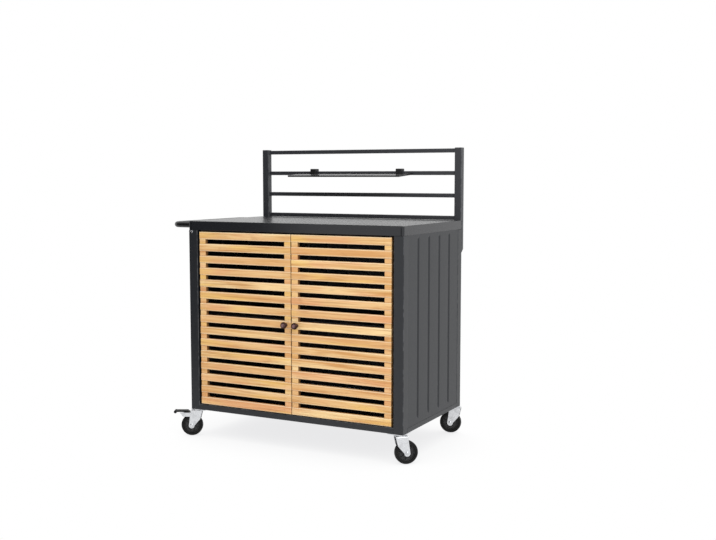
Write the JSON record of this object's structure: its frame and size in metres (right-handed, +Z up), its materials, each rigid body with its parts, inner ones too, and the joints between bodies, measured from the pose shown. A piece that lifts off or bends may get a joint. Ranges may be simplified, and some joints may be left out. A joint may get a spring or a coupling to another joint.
{
  "type": "serving cart",
  "caption": "Wheeled steel cabinet cart with slatted wooden doors, a flat worktop, a push handle, a rear rail rack with a hang-on shelf, and swivel casters.",
  "frame": {"origin": "floor level under the middle of the cart's bounding box", "axes": "+X to the right seen from the doors, +Y to the back, +Z up"},
  "size_m": [1.1565, 0.6485, 1.23],
  "materials": {
    "worktop_coat": "fine-textured matt powder coat",
    "carcass_coat": "fine-textured matt powder coat",
    "panel_coat": "fine-textured matt powder coat",
    "rack_coat": "fine-textured matt powder coat",
    "tray_coat": "fine-textured matt powder coat",
    "clip_plastic": "moulded",
    "handle_coat": "matt powder coat",
    "stile_wood": "oiled",
    "slat_wood": "oiled",
    "knob_metal": "satin dark bronze",
    "door_steel": "black zinc plate",
    "bush_nylon": "moulded",
    "catch_plastic": "moulded",
    "zinc_plate": "bright zinc plate",
    "wheel_core": "moulded",
    "tyre_rubber": "matt",
    "pedal_plastic": "moulded"
  },
  "bodies": {
    "cabinet": {"worktop": "worktop_coat", "top_front_rail": "carcass_coat", "top_rear_rail": "carcass_coat", "top_side_rails": "carcass_coat", "front_post_left": "carcass_coat", "front_post_right": "carcass_coat", "rear_post_left": "carcass_coat", "rear_post_right": "carcass_coat", "bottom_front_rail": "carcass_coat", "bottom_rear_rail": "carcass_coat", "bottom_side_rails": "carcass_coat", "floor_pan": "carcass_coat", "inner_shelf": "carcass_coat", "shelf_rails": "carcass_coat", "side_panel_left": "panel_coat", "side_panel_right": "panel_coat", "back_panel": "panel_coat", "rack_post_left": "rack_coat", "rack_post_right": "rack_coat", "rack_rail_top": "rack_coat", "rack_rail_second": "rack_coat", "rack_rail_third": "rack_coat", "rack_rail_bottom": "rack_coat", "rack_bolts": "rack_coat", "handle_bar": "handle_coat", "pivot_bushes": "bush_nylon", "door_catches": "catch_plastic", "caster_plates": "zinc_plate", "caster_kingpins": "zinc_plate", "plated_bolts": "zinc_plate"},
    "left_door": {"left_hinge_stile": "stile_wood", "left_meeting_stile": "stile_wood", "left_slats": "slat_wood", "left_knob": "knob_metal", "left_door_hardware": "door_steel"},
    "right_door": {"right_hinge_stile": "stile_wood", "right_meeting_stile": "stile_wood", "right_slats": "slat_wood", "right_knob": "knob_metal", "right_door_hardware": "door_steel"},
    "hang_on_shelf": {"hang_shelf": "tray_coat", "hang_shelf_clips": "clip_plastic"},
    "swivel_front_left": {"caster_fork_front_left": "zinc_plate", "caster_axle_front_left": "zinc_plate"},
    "wheel_front_left": {"caster_wheel_front_left": "wheel_core", "caster_tyre_front_left": "tyre_rubber"},
    "brake_front_left": {"brake_pedal_front_left": "pedal_plastic"},
    "swivel_front_right": {"caster_fork_front_right": "zinc_plate", "caster_axle_front_right": "zinc_plate"},
    "wheel_front_right": {"caster_wheel_front_right": "wheel_core", "caster_tyre_front_right": "tyre_rubber"},
    "swivel_rear_left": {"caster_fork_rear_left": "zinc_plate", "caster_axle_rear_left": "zinc_plate"},
    "wheel_rear_left": {"caster_wheel_rear_left": "wheel_core", "caster_tyre_rear_left": "tyre_rubber"},
    "brake_rear_left": {"brake_pedal_rear_left": "pedal_plastic"},
    "swivel_rear_right": {"caster_fork_rear_right": "zinc_plate", "caster_axle_rear_right": "zinc_plate"},
    "wheel_rear_right": {"caster_wheel_rear_right": "wheel_core", "caster_tyre_rear_right": "tyre_rubber"}
  },
  "joints": [
    {"name": "left_door_hinge", "type": "hinge", "parent": "cabinet", "child": "left_door", "pos_m": [-0.3995, -0.272, 0.145], "axis": [0, 0, -1], "range_deg": [0, 100]},
    {"name": "right_door_hinge", "type": "hinge", "parent": "cabinet", "child": "right_door", "pos_m": [0.4755, -0.272, 0.145], "axis": [0, 0, 1], "range_deg": [0, 100]},
    {"name": "hang_shelf_slide", "type": "slide", "parent": "cabinet", "child": "hang_on_shelf", "axis": [1, 0, 0], "range_m": [-0.188, 0.195]},
    {"name": "swivel_front_left", "type": "hinge", "parent": "cabinet", "child": "swivel_front_left", "pos_m": [-0.446, -0.268, 0.1115], "axis": [0, 0, 1], "continuous": true},
    {"name": "wheel_front_left", "type": "hinge", "parent": "swivel_front_left", "child": "wheel_front_left", "pos_m": [-0.46374, -0.27724, 0.046], "axis": [0.4617, -0.887, 0], "continuous": true},
    {"name": "brake_front_left", "type": "hinge", "parent": "swivel_front_left", "child": "brake_front_left", "pos_m": [-0.46729, -0.27908, 0.097], "axis": [0.4617, -0.887, 0], "range_deg": [0, 8]},
    {"name": "swivel_front_right", "type": "hinge", "parent": "cabinet", "child": "swivel_front_right", "pos_m": [0.522, -0.268, 0.1115], "axis": [0, 0, 1], "continuous": true},
    {"name": "wheel_front_right", "type": "hinge", "parent": "swivel_front_right", "child": "wheel_front_right", "pos_m": [0.53709, -0.25488, 0.046], "axis": [-0.6561, 0.7547, 0], "continuous": true},
    {"name": "swivel_rear_left", "type": "hinge", "parent": "cabinet", "child": "swivel_rear_left", "pos_m": [-0.446, 0.285, 0.1115], "axis": [0, 0, 1], "continuous": true},
    {"name": "wheel_rear_left", "type": "hinge", "parent": "swivel_rear_left", "child": "wheel_rear_left", "pos_m": [-0.4657, 0.28153, 0.046], "axis": [0.1736, -0.9848, 0], "continuous": true},
    {"name": "brake_rear_left", "type": "hinge", "parent": "swivel_rear_left", "child": "brake_rear_left", "pos_m": [-0.46964, 0.28083, 0.097], "axis": [0.1736, -0.9848, 0], "range_deg": [0, 8]},
    {"name": "swivel_rear_right", "type": "hinge", "parent": "cabinet", "child": "swivel_rear_right", "pos_m": [0.522, 0.285, 0.1115], "axis": [0, 0, 1], "continuous": true},
    {"name": "wheel_rear_right", "type": "hinge", "parent": "swivel_rear_right", "child": "wheel_rear_right", "pos_m": [0.50268, 0.27982, 0.046], "axis": [0.2588, -0.9659, 0], "continuous": true}
  ]
}
